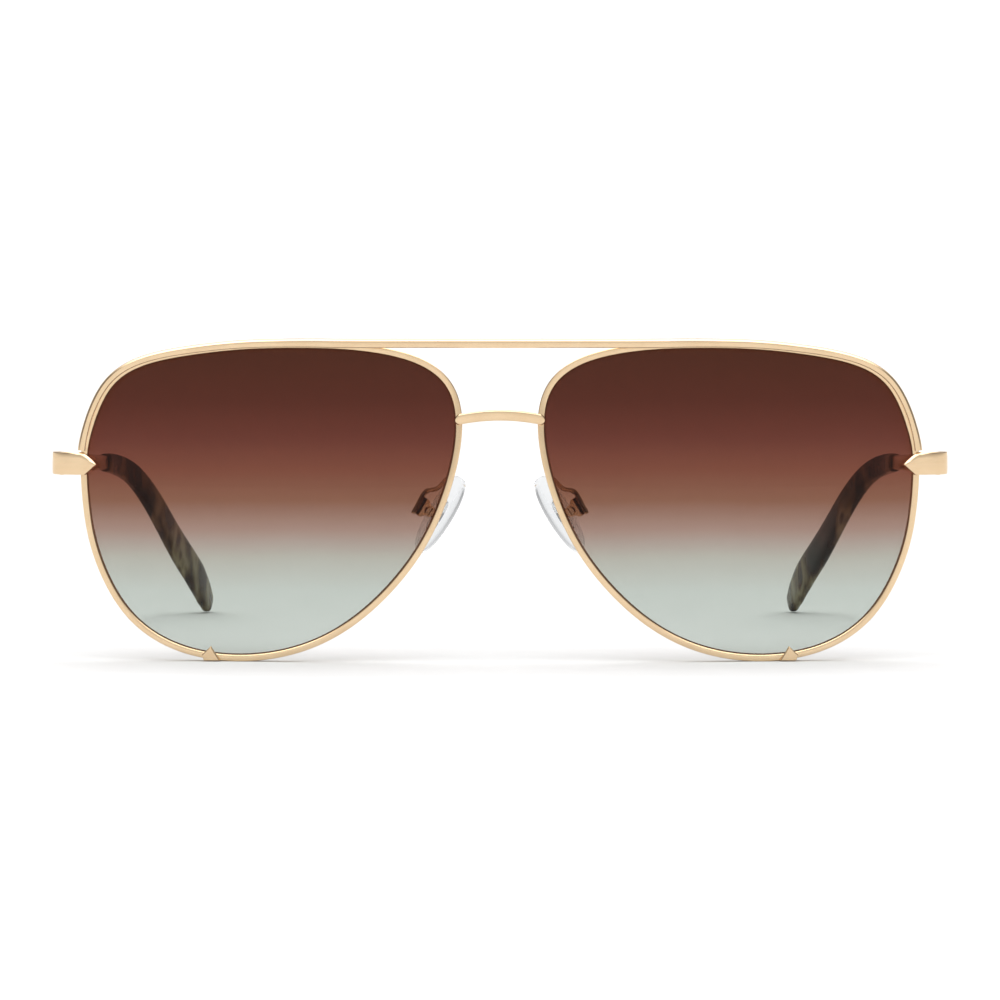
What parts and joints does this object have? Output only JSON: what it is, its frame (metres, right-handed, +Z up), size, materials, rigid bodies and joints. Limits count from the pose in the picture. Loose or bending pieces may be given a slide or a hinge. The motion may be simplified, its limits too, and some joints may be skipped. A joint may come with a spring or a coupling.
{
  "type": "aviator sunglasses",
  "caption": "Metal aviator sunglasses with a straight brow bar, arched bridge, brown gradient lenses, clear nose pads and folding temples with tortoise tips.",
  "frame": {"origin": "on the table, midway across the front and midway along the depth of the open glasses", "axes": "+X towards the wearer's left, +Y back along the temples, +Z up; the front faces -Y"},
  "size_m": [0.1508, 0.1364, 0.0541],
  "materials": {
    "gold_metal": "polished pale gold plating, bevelled edges",
    "screw_metal": "plain machined screw metal",
    "lens_tint": "clear plastic lens with a tint that runs from dark brown at the top to pale grey-green at the bottom",
    "tortoise_acetate": "polished tortoiseshell acetate",
    "clear_plastic": "clear moulded plastic insert",
    "clear_silicone": "clear moulded silicone"
  },
  "bodies": {
    "front": {"brow_bar": "gold_metal", "bridge": "gold_metal", "left_rim": "gold_metal", "left_lens": "lens_tint", "left_rim_stud": "gold_metal", "left_end_piece": "gold_metal", "left_closing_block_upper": "gold_metal", "left_closing_block_lower": "gold_metal", "left_rim_screw": "screw_metal", "left_hinge_front_leaf": "gold_metal", "left_hinge_screw": "screw_metal", "left_pad_arm": "gold_metal", "left_pad_box": "gold_metal", "left_pad_screw": "screw_metal", "right_rim": "gold_metal", "right_lens": "lens_tint", "right_rim_stud": "gold_metal", "right_end_piece": "gold_metal", "right_closing_block_upper": "gold_metal", "right_closing_block_lower": "gold_metal", "right_rim_screw": "screw_metal", "right_hinge_front_leaf": "gold_metal", "right_hinge_screw": "screw_metal", "right_pad_arm": "gold_metal", "right_pad_box": "gold_metal", "right_pad_screw": "screw_metal"},
    "left_temple": {"left_temple_arm": "gold_metal", "left_temple_tip": "tortoise_acetate", "left_hinge_temple_leaf": "gold_metal"},
    "left_pad": {"left_nose_pad": "clear_silicone", "left_nose_pad_core": "clear_plastic"},
    "right_temple": {"right_temple_arm": "gold_metal", "right_temple_tip": "tortoise_acetate", "right_hinge_temple_leaf": "gold_metal"},
    "right_pad": {"right_nose_pad": "clear_silicone", "right_nose_pad_core": "clear_plastic"}
  },
  "joints": [
    {"name": "left_temple_fold", "type": "hinge", "parent": "front", "child": "left_temple", "pos_m": [0.0719, -0.05582, 0.0331], "axis": [0, 0, 1], "range_deg": [0, 83]},
    {"name": "right_temple_fold", "type": "hinge", "parent": "front", "child": "right_temple", "pos_m": [-0.0719, -0.05582, 0.0331], "axis": [0, 0, -1], "range_deg": [0, 78]},
    {"name": "left_pad_rock", "type": "hinge", "parent": "front", "child": "left_pad", "pos_m": [0.0125, -0.05757, 0.02525], "axis": [0.3641, 0.9063, 0.2145], "range_deg": [-10, 10]},
    {"name": "right_pad_rock", "type": "hinge", "parent": "front", "child": "right_pad", "pos_m": [-0.0125, -0.05757, 0.02525], "axis": [-0.3641, 0.9063, 0.2145], "range_deg": [-10, 10]}
  ]
}
